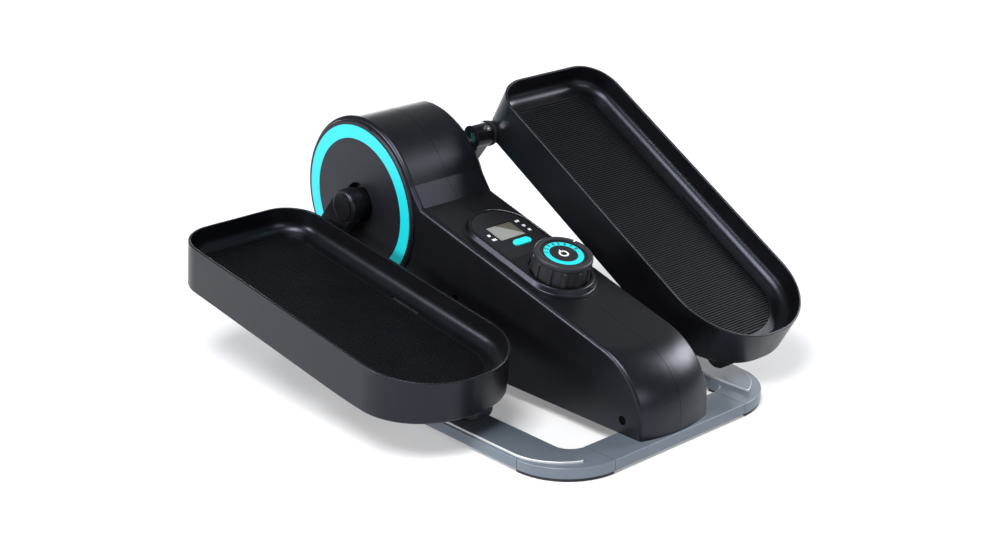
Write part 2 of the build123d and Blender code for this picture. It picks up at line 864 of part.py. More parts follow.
# The sheathed cable from the spool to its stop, held inside the body along its whole route.
cable_radius = 1.6
cable_x = -14.0
with BuildPart() as tension_cable:
    with BuildLine() as route:
        FilletPolyline(
            (cable_x, -92.0, 88.0),
            (cable_x, -112.0, 80.0),
            (cable_x, -124.0, 58.0),
            (cable_x, -108.0, 36.0),
            (cable_x, -86.0, 30.0),
            radius=12.0,
        )
    with BuildSketch(Plane(origin=route.line @ 0, z_dir=route.line % 0)):
        Circle(cable_radius)
    sweep()
save(tension_cable.part, "tension_cable")


# ---------------------------------------------------------------- crank arms and pins


def around(y, z, length, angle):
    """A point at a length and angle from (y, z), in the plane across X."""
    return (y + length * cos(radians(angle)), z + length * sin(radians(angle)))


crank_axle = disc(-hub_end, hub_end, drum_y, drum_z, axle_radius)
save(crank_axle, "crank_axle")

crank_angles = {"left": right_crank_angle - 180.0, "right": right_crank_angle}
pins = {side: around(drum_y, drum_z, crank_length, angle) for side, angle in crank_angles.items()}

arm_screw_x = 65.5
arm_screw_start = 9.6
arm_screw_length = 3.6
arm_screw_radius = 4.0
arm_screw_hole = 4.3
socket_depth = 2.0
socket_radius = 2.2


def arm_screw_plane(side, distance):
    """A plane at a distance out from the pin, along the arm, for the screw that clamps the pin."""
    outward = Vector(0, *around(0, 0, 1.0, crank_angles[side]))
    pin_point = Vector(sides[side] * arm_screw_x, *pins[side])
    return Plane(origin=pin_point + outward * distance, x_dir=(1, 0, 0), z_dir=outward)


for side, sign in sides.items():
    pin_y, pin_z = pins[side]
    with BuildPart() as crank_arm:
        add(disc(sign * arm_inner, sign * hub_end, drum_y, drum_z, hub_radius))
        fillet(crank_arm.edges().filter_by(GeomType.CIRCLE).sort_by(lambda e: abs(e.center().X))[-1], 2.5)
        add(disc(sign * neck_inner, sign * arm_inner, drum_y, drum_z, hub_neck_radius))
        add(disc(sign * boss_inner, sign * boss_outer, pin_y, pin_z, boss_radius))
        with BuildSketch(side_plane(sign * arm_inner)):
            with Locations((drum_y, drum_z)):
                Circle(hub_radius - 0.5)
            with Locations((pin_y, pin_z)):
                Circle(boss_radius - 0.5)
            make_hull()
        extrude(amount=sign * (arm_outer - arm_inner))
        with BuildSketch(side_plane(0)):
            with Locations((drum_y, drum_z)):
                Circle(axle_radius)
            with Locations((pin_y, pin_z)):
                Circle(pin_radius)
        extrude(amount=sign * 2 * hub_end, mode=Mode.SUBTRACT)
        with BuildSketch(arm_screw_plane(side, arm_screw_start)):
            Circle(arm_screw_hole)
        extrude(amount=boss_radius, mode=Mode.SUBTRACT)
    save(crank_arm.part, f"{side}_crank_arm")

with BuildPart() as crank_pins:
    for side, sign in sides.items():
        add(disc(sign * (boss_inner + 2.0), sign * pin_end, *pins[side], pin_radius))
        add(disc(sign * pin_head_start, sign * pin_end, *pins[side], pin_head_radius))
save(crank_pins.part, "crank_pins")

with BuildPart() as arm_screws:
    for side in sides:
        with BuildSketch(arm_screw_plane(side, arm_screw_start)):
            Circle(arm_screw_radius)
        extrude(amount=arm_screw_length)
        with BuildSketch(arm_screw_plane(side, arm_screw_start + arm_screw_length)):
            RegularPolygon(socket_radius, 6)
        extrude(amount=-socket_depth, mode=Mode.SUBTRACT)
save(arm_screws.part, "arm_screws")

with BuildPart() as axle_caps:
    for sign in sides.values():
        add(disc(sign * hub_end, sign * (hub_end + cap_thickness), drum_y, drum_z, cap_radius))
save(axle_caps.part, "axle_caps")

# ---------------------------------------------------------------- pedals

tilts = {"left": left_tilt, "right": right_tilt}
heel_past = tray_length + 10.0
heel_middle = (heel_rise_start + heel_past) / 2
sleeve_start = 75.2
sleeve_end = 112.0
sleeve_radius = 12.0
bush_radius = 8.0
bush_length = 9.0
collar_start = 72.8
collar_radius = 13.2
skirt = 3.5
slot_x = 57.5
slot_s = 200.0
spine_near = 96.0
spine_far = 142.0
spine_thickness = 3.0
fork_gap = 0.6
ear = 3.0
ear_half = 7.0


def bottom_depth(s):
    """How far the pedal's lower edge is below its rim, s behind the toe on the rising part."""
    return tray_depth - (s - heel_rise_start) ** 2 / (2 * heel_rise_radius)


def tray_outline(inset):
    """The pedal's plan in its own plane: toe edge at the origin, heel towards -y."""
    half = tray_width / 2 - inset
    toe = toe_radius - inset
    heel = heel_radius - inset
    with BuildSketch(Plane.XY) as plan:
        with Locations((0, -tray_length / 2)):
            Rectangle(2 * half, tray_length - 2 * inset)
        ordered = plan.vertices().sort_by(Axis.Y)
        fillet(ordered[2:], toe)
        fillet(plan.vertices().sort_by(Axis.Y)[:2], heel)
    return plan.sketch


for side, sign in sides.items():
    pin_y, pin_z = pins[side]
    tilt = radians(tilts[side])
    normal = Vector(0, -sin(tilt), cos(tilt))
    to_toe = Vector(0, cos(tilt), sin(tilt))
    toe_edge = Vector(sign * pedal_x, pin_y, pin_z) + to_toe * pin_behind_toe + normal * pin_below_rim
    tray_plane = Plane(origin=toe_edge, x_dir=(1, 0, 0), z_dir=normal)

    def at_depth(sketch, depth):
        """A plan sketch placed at a depth below the pedal's rim."""
        return sketch.moved(tray_plane.offset(-depth).location)

    rim_axis = Axis(tray_plane.origin, tray_plane.z_dir)

    with BuildPart() as tray:
        add(at_depth(tray_outline(0), tray_depth))
        extrude(amount=tray_depth, dir=tuple(normal))
        with BuildSketch(Plane(origin=toe_edge, x_dir=tuple(to_toe), z_dir=(1, 0, 0))):
            with BuildLine():
                rise = [(-s, -bottom_depth(s)) for s in (heel_rise_start, heel_middle, heel_past)]
                ThreePointArc(*rise)
                Polyline(rise[2], (-heel_past, -80.0), (-heel_rise_start, -80.0), rise[0])
            make_face()
        extrude(amount=2 * tray_width, both=True, mode=Mode.SUBTRACT)
        under = tray.faces().filter_by(lambda f: f.normal_at().dot(normal) < -0.9)
        join = Edge.make_line(*[tray_plane.from_local_coords((x, -heel_rise_start, -tray_depth)) for x in (-1, 1)])
        fillet(under.edges().filter_by(lambda e: (e.center() - join.center()).length > 1), 2.0)
        add(at_depth(tray_outline(skirt), 80.0))
        extrude(amount=80.0 - mat_depth - floor_thickness, dir=tuple(normal), mode=Mode.SUBTRACT)
    with BuildPart() as recess:
        add(at_depth(tray_outline(rim_width), mat_depth))
        extrude(amount=mat_depth + 5.0, dir=tuple(normal))
        fillet(recess.faces().sort_by(rim_axis)[0].edges(), cove_radius)
    with BuildPart() as tray_cut:
        add(tray.part)
        add(recess.part, mode=Mode.SUBTRACT)
        fillet(tray_cut.faces().sort_by(rim_axis)[-1].edges(), 0.8)
        # Drain slots in the coves, half way along.
        with BuildSketch(tray_plane.offset(-60.0)):
            with Locations((-slot_x, -slot_s), (slot_x, -slot_s)):
                SlotOverall(42.0, 3.2, rotation=90)
        extrude(amount=60.0, mode=Mode.SUBTRACT)
        # The crank pin's sleeve comes in through a notch in the inner wall.
        with BuildSketch(side_plane(sign * (pedal_x - tray_width / 2 - 10.0))):
            with Locations((pin_y, pin_z)):
                Circle(sleeve_radius + 2.0)
        extrude(amount=sign * 36.0, mode=Mode.SUBTRACT)
    save(tray_cut.part, f"{side}_tray")

    with BuildPart() as mat:
        add(at_depth(tray_outline(mat_inset), mat_depth))
        extrude(amount=mat_thickness, dir=tuple(normal))
    save(mat.part, f"{side}_mat")

    spine_depth = mat_depth + floor_thickness
    wheel_center = toe_edge - to_toe * wheel_behind_toe - normal * wheel_below_rim
    wheel_y, wheel_z = wheel_center.Y, wheel_center.Z
    fork_inner = wheel_x - wheel_width / 2 - fork_gap - ear
    fork_outer = wheel_x + wheel_width / 2 + fork_gap + ear
    with BuildPart() as pedal_frame:
        with BuildSketch(tray_plane.offset(-spine_depth - spine_thickness)):
            with Locations((sign * ((spine_near + spine_far) / 2 - pedal_x), -184.0)):
                Rectangle(spine_far - spine_near, 344.0)
        extrude(amount=spine_thickness)
        add(at_depth(tray_outline(skirt + 0.5), spine_depth + spine_thickness))
        extrude(amount=spine_thickness, dir=tuple(normal), mode=Mode.INTERSECT)
        add(disc(sign * sleeve_start, sign * sleeve_end, pin_y, pin_z, sleeve_radius))
        # A web ties the sleeve to the spine.
        with BuildSketch(tray_plane.offset(-spine_depth - 14.0)):
            with Locations((sign * ((spine_near + sleeve_end) / 2 - pedal_x), -pin_behind_toe)):
                Rectangle(sleeve_end - spine_near, 16.0)
        extrude(amount=14.0)
        # The fork for the heel wheel.
        for ear_x in (fork_inner, fork_outer - ear):
            with BuildSketch(tray_plane.offset(-wheel_below_rim)):
                with Locations((sign * (ear_x + ear / 2 - pedal_x), -wheel_behind_toe)):
                    Rectangle(ear, 2 * ear_half)
            extrude(amount=wheel_below_rim - spine_depth - 0.5)
            add(disc(sign * ear_x, sign * (ear_x + ear), wheel_y, wheel_z, ear_half))
        with BuildSketch(side_plane(0)):
            with Locations((pin_y, pin_z)):
                Circle(bush_radius)
            with Locations((wheel_y, wheel_z)):
                Circle(wheel_axle_radius)
        extrude(amount=sign * 2 * pedal_x, mode=Mode.SUBTRACT)
    save(pedal_frame.part, f"{side}_pedal_frame")

    # Two bushes, with a thrust collar between the arm's boss and the sleeve.
    with BuildPart() as pin_bushes:
        bush_hole = pin_radius + running_clearance
        for bush_x in (sleeve_start, sleeve_end - bush_length):
            add(disc(sign * bush_x, sign * (bush_x + bush_length), pin_y, pin_z, bush_radius, bush_hole))
        add(disc(sign * collar_start, sign * sleeve_start, pin_y, pin_z, collar_radius, bush_hole))
    save(pin_bushes.part, f"{side}_pin_bushes")

    with BuildPart() as heel_wheel:
        x_from, x_to = sign * (wheel_x - wheel_width / 2), sign * (wheel_x + wheel_width / 2)
        add(disc(x_from, x_to, wheel_y, wheel_z, wheel_radius, wheel_axle_radius + running_clearance))
        tread = heel_wheel.edges().filter_by(GeomType.CIRCLE).sort_by(SortBy.RADIUS)[-2:]
        fillet(tread, 2.0)
    save(heel_wheel.part, f"{side}_heel_wheel")

    wheel_axle = disc(sign * fork_inner, sign * fork_outer, wheel_y, wheel_z, wheel_axle_radius)
    save(wheel_axle, f"{side}_wheel_axle")

# ---------------------------------------------------------------- screws and batteries

with BuildPart() as housing_screws:
    for sign in sides.values():
        for screw_y, screw_z in screw_places:
            head = sign * (plate_outer + recess_floor)
            add(disc(sign * (plate_inner - 4.0), head, screw_y, screw_z, thread_radius))
            add(disc(head, head + sign * housing_head_height, screw_y, screw_z, housing_head_radius))
save(housing_screws.part, "housing_screws")

with BuildPart() as base_screws:
    for screw_y in base_screw_ys:
        with BuildSketch(Plane.XY.offset(base_bottom + head_recess)):
            with Locations((-base_screw_x, screw_y), (base_screw_x, screw_y)):
                Circle(screw_head)
        extrude(amount=counterbore - head_recess)
        with BuildSketch(Plane.XY.offset(base_bottom + counterbore)):
            with Locations((-base_screw_x, screw_y), (base_screw_x, screw_y)):
                Circle(screw_radius)
        extrude(amount=foot_top - base_bottom - counterbore)
save(base_screws.part, "base_screws")

door_thickness = 2.0
with BuildPart() as battery_door:
    with BuildSketch(Plane.XY.offset(body_bottom)):
        with Locations((0, battery_y)):
            Rectangle(battery_width - 0.4, battery_length - 0.4)
    extrude(amount=door_thickness)
save(battery_door.part, "battery_door")

cell_radius = 7.0
cell_length = 50.0
cell_x = 8.0
cell_z = body_bottom + door_thickness + cell_radius
with BuildPart() as batteries:
    with BuildSketch(Plane.XZ.offset(-battery_y - cell_length / 2)):
        with Locations((-cell_x, cell_z), (cell_x, cell_z)):
            Circle(cell_radius)
    extrude(amount=cell_length)
save(batteries.part, "batteries")
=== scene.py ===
import json
import math

import bmesh
import bpy
from mathutils import Matrix, Vector


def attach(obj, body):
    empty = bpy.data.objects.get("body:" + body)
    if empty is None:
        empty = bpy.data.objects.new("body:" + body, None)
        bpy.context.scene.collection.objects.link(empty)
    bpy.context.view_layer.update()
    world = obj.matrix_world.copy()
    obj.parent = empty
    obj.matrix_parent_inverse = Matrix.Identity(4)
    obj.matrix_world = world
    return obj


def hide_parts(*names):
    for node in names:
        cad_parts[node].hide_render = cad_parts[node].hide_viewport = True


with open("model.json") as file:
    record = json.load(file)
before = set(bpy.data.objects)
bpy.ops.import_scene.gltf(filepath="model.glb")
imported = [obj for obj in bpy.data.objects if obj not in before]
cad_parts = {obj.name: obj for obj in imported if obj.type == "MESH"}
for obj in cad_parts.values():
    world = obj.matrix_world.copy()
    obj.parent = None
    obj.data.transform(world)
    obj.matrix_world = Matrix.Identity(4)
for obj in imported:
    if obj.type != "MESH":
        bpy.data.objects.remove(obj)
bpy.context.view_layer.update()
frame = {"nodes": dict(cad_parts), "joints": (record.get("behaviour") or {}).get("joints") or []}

MM = 0.001
nodes = frame["nodes"]
joints = {joint["name"]: joint for joint in frame["joints"]}


# ------------------------------------------------------------------ places read from the frame


def joint_point(name):
    return Vector(joints[name]["pos_m"])


def frame_matrix(origin, x_axis, y_axis, z_axis):
    """A place and three axes as a matrix. Pieces are made in millimetres in it."""
    turn = Matrix((x_axis, y_axis, z_axis)).transposed().to_4x4()
    return Matrix.Translation(origin) @ turn @ Matrix.Scale(MM, 4)


X_AXIS = Vector((1, 0, 0))
SLOPE_NORMAL = Vector(joints["knob_turn"]["axis"]).normalized()
UP_SLOPE = SLOPE_NORMAL.cross(X_AXIS).normalized()
# The knob's joint stands this high above the slope, and this far down it from the crease.
KNOB_HEIGHT = 10.0
KNOB_S = 151.5
KNOB_CENTRE = joint_point("knob_turn") - SLOPE_NORMAL * KNOB_HEIGHT * MM
# In the console's frame x is across, y is up the slope from the crease, so it is negative on the console,
# and z is the height above the slope.
CONSOLE = frame_matrix(KNOB_CENTRE + UP_SLOPE * KNOB_S * MM, X_AXIS, UP_SLOPE, SLOPE_NORMAL)
KNOB = frame_matrix(KNOB_CENTRE, X_AXIS, UP_SLOPE, SLOPE_NORMAL)

# The crank pin and the heel wheel's axle, from the toe edge and the rim of the tray.
PIN_BEHIND_TOE = 20.6
PIN_BELOW_RIM = 47.5
WHEEL_BEHIND_TOE = 347.2
WHEEL_BELOW_RIM = 49.6
PEDAL_X = 148.5
SIDES = {"left": -1, "right": 1}


def pedal_frame(side):
    """The pedal's own frame: its origin is the toe edge at the rim, y runs to the toe, z out of the tray."""
    pin = joint_point(f"{side}_pedal_pivot")
    wheel = joint_point(f"{side}_wheel_spin")
    run = WHEEL_BEHIND_TOE - PIN_BEHIND_TOE
    rise = WHEEL_BELOW_RIM - PIN_BELOW_RIM
    tilt = math.atan2(pin.z - wheel.z, pin.y - wheel.y) - math.atan2(rise, run)
    to_toe = Vector((0, math.cos(tilt), math.sin(tilt)))
    normal = Vector((0, -math.sin(tilt), math.cos(tilt)))
    origin = Vector((SIDES[side] * PEDAL_X * MM, pin.y, pin.z))
    origin += (to_toe * PIN_BEHIND_TOE + normal * PIN_BELOW_RIM) * MM
    return frame_matrix(origin, X_AXIS, to_toe, normal)


# ------------------------------------------------------------------ materials


NOISE_ROUGHNESS = 0.55
# Painted light: the plastics and rubbers tint their reflections a little blue, standing in for a bluish light
# on them.
PAINTED_BLUE_REFLECTION_TINT = (0.76, 0.80, 1.0, 1.0)


class Shader:
    """A node material on one Principled shader."""

    def __init__(self, name, **values):
        self.material = bpy.data.materials.new(name)
        self.material.use_nodes = True
        self.tree = self.material.node_tree
        self.shader = self.tree.nodes["Principled BSDF"]
        for socket, value in values.items():
            self.shader.inputs[socket.replace("_", " ")].default_value = value
        self.place = self.tree.nodes.new("ShaderNodeTexCoord").outputs["Object"]

    def link(self, source, target):
        self.tree.links.new(source, target)

    def noise(self, scale, detail):
        """Cloudy noise, from 0 to 1. The scale is in features per metre."""
        node = self.tree.nodes.new("ShaderNodeTexNoise")
        node.inputs["Scale"].default_value = scale
        node.inputs["Detail"].default_value = detail
        node.inputs["Roughness"].default_value = NOISE_ROUGHNESS
        self.link(self.place, node.inputs["Vector"])
        return node.outputs["Fac"]

    def ramp(self, source, low, high, stops):
        """Two colours along a source, from low to high."""
        node = self.tree.nodes.new("ShaderNodeValToRGB")
        self.link(source, node.inputs["Fac"])
        elements = node.color_ramp.elements
        elements[0].position, elements[1].position = low, high
        for element, stop in zip(elements, stops):
            element.color = (*stop, 1)
        return node.outputs["Color"]

    def value_range(self, source, low, high):
        """A source from 0 to 1 as a number from low to high."""
        node = self.tree.nodes.new("ShaderNodeMapRange")
        node.inputs["To Min"].default_value = low
        node.inputs["To Max"].default_value = high
        self.link(source, node.inputs["Value"])
        return node.outputs["Result"]

    def mix(self, factor, a, b):
        node = self.tree.nodes.new("ShaderNodeMix")
        node.data_type = "RGBA"
        self.link(factor, node.inputs[0])
        for value, socket in ((a, node.inputs[6]), (b, node.inputs[7])):
            if isinstance(value, bpy.types.NodeSocket):
                self.link(value, socket)
            else:
                socket.default_value = (*value, 1)
        return node.outputs[2]

    def maths(self, operation, a, b):
        node = self.tree.nodes.new("ShaderNodeMath")
        node.operation = operation
        for value, socket in zip((a, b), node.inputs):
            if isinstance(value, bpy.types.NodeSocket):
                self.link(value, socket)
            else:
                socket.default_value = value
        return node.outputs["Value"]

    def bump(self, *layers):
        """Bump layers, each a height source, a distance in metres and a strength."""
        normal = None
        for height, distance, strength in layers:
            node = self.tree.nodes.new("ShaderNodeBump")
            node.inputs["Distance"].default_value = distance
            node.inputs["Strength"].default_value = strength
            self.link(height, node.inputs["Height"])
            if normal is not None:
                self.link(normal, node.inputs["Normal"])
            normal = node.outputs["Normal"]
        self.link(normal, self.shader.inputs["Normal"])


PLASTIC_SPECULAR = 0.36


def moulded_plastic(name, dark, light, rough_low, rough_high, grain=1900.0, depth=0.35):
    """Moulded plastic: a fine spark-eroded grain, and slow changes of shade and gloss."""
    made = Shader(name, Specular_IOR_Level=PLASTIC_SPECULAR, Specular_Tint=PAINTED_BLUE_REFLECTION_TINT)
    slow = made.noise(14.0, 4.0)
    made.link(made.ramp(slow, 0.35, 0.68, (dark, light)), made.shader.inputs["Base Color"])
    patches = made.noise(55.0, 5.0)
    made.link(made.value_range(patches, rough_low, rough_high), made.shader.inputs["Roughness"])
    fine = made.noise(grain, 2.0)
    made.bump((fine, 0.00006, depth), (slow, 0.0004, 0.05))
    return made.material


LEVEL_NORMAL = 0.97
RUBBED_METAL = (0.54, 0.55, 0.57)


def painted_metal(name, dark, light, metallic, rough_low, rough_high, worn=0.0, specular=0.5):
    """Satin paint with a slight orange peel. Worn paint is rubbed bright wherever a face isn't level."""
    made = Shader(name, Metallic=metallic, Specular_IOR_Level=specular)
    slow = made.noise(18.0, 4.0)
    colour = made.ramp(slow, 0.3, 0.7, (dark, light))
    if worn:
        normal = made.tree.nodes.new("ShaderNodeNewGeometry").outputs["Normal"]
        split = made.tree.nodes.new("ShaderNodeSeparateXYZ")
        made.link(normal, split.inputs["Vector"])
        steep = made.maths("LESS_THAN", split.outputs["Z"], LEVEL_NORMAL)
        rubbed = made.value_range(made.noise(160.0, 5.0), 0.6, 1.5)
        bright = made.maths("MULTIPLY", steep, made.maths("MINIMUM", rubbed, worn))
        colour = made.mix(bright, colour, RUBBED_METAL)
    made.link(colour, made.shader.inputs["Base Color"])
    gloss = made.value_range(made.noise(70.0, 5.0), rough_low, rough_high)
    made.link(gloss, made.shader.inputs["Roughness"])
    made.bump((made.noise(420.0, 3.0), 0.00005, 0.25))
    return made.material


def rubber(name, dark, light, rough=0.7, specular=0.35):
    """Matt rubber with a fine, uneven skin."""
    made = Shader(name, Specular_IOR_Level=specular, Specular_Tint=PAINTED_BLUE_REFLECTION_TINT)
    slow = made.noise(30.0, 5.0)
    made.link(made.ramp(slow, 0.3, 0.75, (dark, light)), made.shader.inputs["Base Color"])
    gloss = made.value_range(made.noise(120.0, 4.0), rough - 0.1, rough + 0.12)
    made.link(gloss, made.shader.inputs["Roughness"])
    made.bump((made.noise(900.0, 3.0), 0.00008, 0.4))
    return made.material


def bare_metal(name, dark, light, rough_low, rough_high):
    """Unpainted metal with fine marks in its gloss."""
    made = Shader(name, Metallic=1.0)
    slow = made.noise(40.0, 6.0)
    made.link(made.ramp(slow, 0.3, 0.7, (dark, light)), made.shader.inputs["Base Color"])
    marks = made.noise(260.0, 6.0)
    made.link(made.value_range(marks, rough_low, rough_high), made.shader.inputs["Roughness"])
    made.bump((marks, 0.00004, 0.25))
    return made.material


def printed(name, colour, other, rough=0.45):
    """Printed ink or inlaid enamel, a little uneven."""
    made = Shader(name)
    uneven = made.noise(300.0, 4.0)
    made.link(made.ramp(uneven, 0.25, 0.8, (other, colour)), made.shader.inputs["Base Color"])
    gloss = made.value_range(made.noise(500.0, 3.0), rough - 0.1, rough + 0.08)
    made.link(gloss, made.shader.inputs["Roughness"])
    return made.material


SHELL = moulded_plastic(
    "shell_plastic", (0.0022, 0.0022, 0.0032), (0.0036, 0.0036, 0.0048),
    0.28, 0.37)
TRAY = moulded_plastic(
    "tray_plastic", (0.0022, 0.0022, 0.0032), (0.0036, 0.0036, 0.0048),
    0.27, 0.36)
COVER = moulded_plastic(
    "cover_plastic", (0.0032, 0.0032, 0.0044), (0.0050, 0.0050, 0.0064),
    0.36, 0.46, 1500.0)
PANEL = moulded_plastic(
    "panel_plastic", (0.0070, 0.0070, 0.0084), (0.0095, 0.0095, 0.0112),
    0.30, 0.40, 2600.0, 0.2)
KNOB_TOP = moulded_plastic(
    "knob_plastic", (0.0130, 0.0130, 0.0152), (0.0190, 0.0190, 0.0215),
    0.40, 0.52, 1300.0, 0.6)
INNER = moulded_plastic("inner_plastic", (0.035, 0.035, 0.038), (0.055, 0.055, 0.060), 0.45, 0.6)
TEAL = printed("teal_enamel", (0.006, 0.500, 0.545), (0.004, 0.465, 0.515), 0.36)
TEAL_PLASTIC = moulded_plastic(
    "teal_plastic", (0.014, 0.560, 0.580), (0.020, 0.620, 0.640),
    0.28, 0.38, 2200.0, 0.15)
WHITE_INK = printed("white_ink", (0.80, 0.81, 0.82), (0.70, 0.71, 0.72))
DARK_INK = printed("dark_ink", (0.006, 0.012, 0.014), (0.004, 0.008, 0.010))
FRAME_PAINT = painted_metal(
    "frame_paint", (0.112, 0.134, 0.166), (0.130, 0.155, 0.188),
    0.35, 0.34, 0.44)
TRACK = painted_metal(
    "track_metal", (0.100, 0.122, 0.150), (0.118, 0.142, 0.172),
    0.35, 0.34, 0.46, 1.0)
ARM_PAINT = moulded_plastic(
    "arm_paint", (0.0030, 0.0030, 0.0038), (0.0052, 0.0052, 0.0062),
    0.27, 0.36, 2400.0)
# Painted shade: the housing screws are near black with almost no gloss, so they read as the shade inside
# their recesses, not as a finish of the screws.
SCREW_RECESS_SHADE = painted_metal(
    "screw_painted_shade", (0.0008, 0.0008, 0.0010), (0.0016, 0.0016, 0.0019),
    0.0, 0.45, 0.6, 0.0, 0.02)
DARK_STEEL = painted_metal(
    "dark_steel", (0.018, 0.018, 0.019), (0.030, 0.030, 0.032),
    0.5, 0.34, 0.5)
STEEL = bare_metal("bright_steel", (0.50, 0.50, 0.51), (0.66, 0.66, 0.67), 0.18, 0.36)
CAST = bare_metal("cast_wheel", (0.10, 0.10, 0.105), (0.17, 0.17, 0.175), 0.35, 0.6)
NYLON = moulded_plastic("bush_nylon", (0.014, 0.014, 0.015), (0.022, 0.022, 0.024), 0.35, 0.48)
PAD_RUBBER = rubber("pad_rubber", (0.012, 0.012, 0.013), (0.022, 0.022, 0.024))
MAT_RUBBER = rubber("mat_rubber", (0.0036, 0.0038, 0.0050), (0.0056, 0.0058, 0.0072), 0.50, 0.17)
WHEEL_RUBBER = rubber("wheel_rubber", (0.010, 0.010, 0.011), (0.020, 0.020, 0.022), 0.52)
BELT = rubber("belt_rubber", (0.010, 0.010, 0.010), (0.018, 0.018, 0.018))
BOARD = painted_metal("board_green", (0.010, 0.110, 0.045), (0.016, 0.150, 0.065), 0.0, 0.30, 0.42)
CELL = painted_metal("cell_jacket", (0.030, 0.050, 0.090), (0.045, 0.070, 0.120), 0.4, 0.22, 0.34)


SCREEN_TOP = 4.6
# A point on the slanted line between the display's pale grey and its painted shadow, in the console's frame.
SHADOW_EDGE_X, SHADOW_EDGE_S = 5.5, 71.5
SHADOW_EDGE_LEAN = 1.05
SHADOW_EDGE_BLUR = 0.0006


def display_with_painted_shadow():
    """The display's grey field: pale to the lower left, with a painted shadow darkening the upper right,
    split on a slant.
    """
    made = Shader("display_grey", Specular_IOR_Level=0.6)
    mapping = made.tree.nodes.new("ShaderNodeMapping")
    mapping.vector_type = "TEXTURE"
    mapping.inputs["Location"].default_value = CONSOLE @ Vector((SHADOW_EDGE_X, -SHADOW_EDGE_S, SCREEN_TOP))
    made.link(made.place, mapping.inputs["Vector"])
    split = made.tree.nodes.new("ShaderNodeSeparateXYZ")
    made.link(mapping.outputs["Vector"], split.inputs["Vector"])
    across = made.maths("MULTIPLY", split.outputs["X"], SHADOW_EDGE_LEAN)
    lean = made.maths("ADD", split.outputs["Y"], across)
    step = made.tree.nodes.new("ShaderNodeMapRange")
    step.inputs["From Min"].default_value = -SHADOW_EDGE_BLUR
    step.inputs["From Max"].default_value = SHADOW_EDGE_BLUR
    made.link(lean, step.inputs["Value"])
    # Painted shadow: the darker grey over the upper right stands in for shade falling on the display, not a
    # colour of the display.
    grey = made.mix(step.outputs["Result"], (0.21, 0.215, 0.205), (0.075, 0.075, 0.060))
    made.link(grey, made.shader.inputs["Base Color"])
    made.link(made.value_range(made.noise(200.0, 4.0), 0.22, 0.34), made.shader.inputs["Roughness"])
    return made.material


NODE_MATERIALS = {
    FRAME_PAINT: ("front_bar", "rear_bar", "left_rail", "right_rail", "front_corners", "rear_corners"),
    TRACK: ("track_plates",),
    PAD_RUBBER: ("corner_pads",),
    SHELL: ("left_housing", "right_housing", "console_pod", "battery_door"),
    COVER: ("left_drum_cover", "right_drum_cover"),
    TEAL: ("accent_rings",),
    PANEL: ("display_panel", "knob_dial"),
    INNER: ("display_module", "display_window", "tension_spool", "flywheel_pulley", "drive_pulley",
            "speed_sensor"),
    BOARD: ("circuit_board",),
    TEAL_PLASTIC: ("mode_button",),
    KNOB_TOP: ("resistance_knob",),
    DARK_STEEL: ("dial_bracket", "left_frame_plate", "right_frame_plate", "frame_rods",
                 "left_pedal_frame", "right_pedal_frame"),
    SCREW_RECESS_SHADE: ("housing_screws",),
    STEEL: ("crank_bearings", "flywheel_bearings", "flywheel_axle", "pulley_magnet", "brake_bracket",
            "brake_magnets", "crank_axle", "crank_pins", "arm_screws", "left_wheel_axle", "right_wheel_axle",
            "base_screws"),
    CAST: ("flywheel",),
    BELT: ("drive_belt", "tension_cable"),
    ARM_PAINT: ("left_crank_arm", "right_crank_arm", "axle_caps"),
    TRAY: ("left_tray", "right_tray"),
    MAT_RUBBER: ("left_mat", "right_mat"),
    NYLON: ("left_pin_bushes", "right_pin_bushes"),
    WHEEL_RUBBER: ("left_heel_wheel", "right_heel_wheel"),
    CELL: ("batteries",),
}
for material, names in NODE_MATERIALS.items():
    for name in names:
        mesh = nodes[name].data
        mesh.materials.clear()
        mesh.materials.append(material)


# ------------------------------------------------------------------ mesh helpers


def piece(name, verts, faces, place, material, body, slot, smooth_angle=35.0):
    """A mesh made in millimetres in a frame, put in its place, and joined to its body."""
    mesh = bpy.data.meshes.new(name)
    mesh.from_pydata([place @ Vector(v) for v in verts], [], faces)
    mesh.validate()
    work = bmesh.new()
    work.from_mesh(mesh)
    bmesh.ops.recalc_face_normals(work, faces=work.faces)
    work.to_mesh(mesh)
    work.free()
    mesh.materials.append(material)
    made = bpy.data.objects.new(name, mesh)
    bpy.context.scene.collection.objects.link(made)
    mesh.shade_smooth()
    mesh.set_sharp_from_angle(angle=math.radians(smooth_angle))
    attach(made, body)
    return made


def lathe(profile, steps, reach=None):
    """A closed profile of (radius, height) turned round z. reach gives a radius from its angle and height."""
    verts, faces = [], []
    count = len(profile)
    for i in range(steps):
        angle = 2 * math.pi * i / steps
        for radius, height in profile:
            r = reach(angle, radius, height) if reach else radius
            verts.append((r * math.cos(angle), r * math.sin(angle), height))
    for i in range(steps):
        a, b = i * count, (i + 1) % steps * count
        for j in range(count):
            k = (j + 1) % count
            faces.append((a + j, b + j, b + k, a + k))
    return verts, faces


def prism(outline, low, high):
    """A flat outline of points, as a solid between two heights."""
    count = len(outline)
    verts = [(x, y, z) for z in (low, high) for x, y in outline]
    faces = [tuple(range(count))[::-1], tuple(range(count, 2 * count))]
    faces += [(i, (i + 1) % count, count + (i + 1) % count, count + i) for i in range(count)]
    return verts, faces


def merged(*parts):
    """Several solids as one list of points and one of faces."""
    verts, faces = [], []
    for part_verts, part_faces in parts:
        start = len(verts)
        verts += part_verts
        faces += [tuple(start + i for i in face) for face in part_faces]
    return verts, faces


CORNER_STEPS = 5


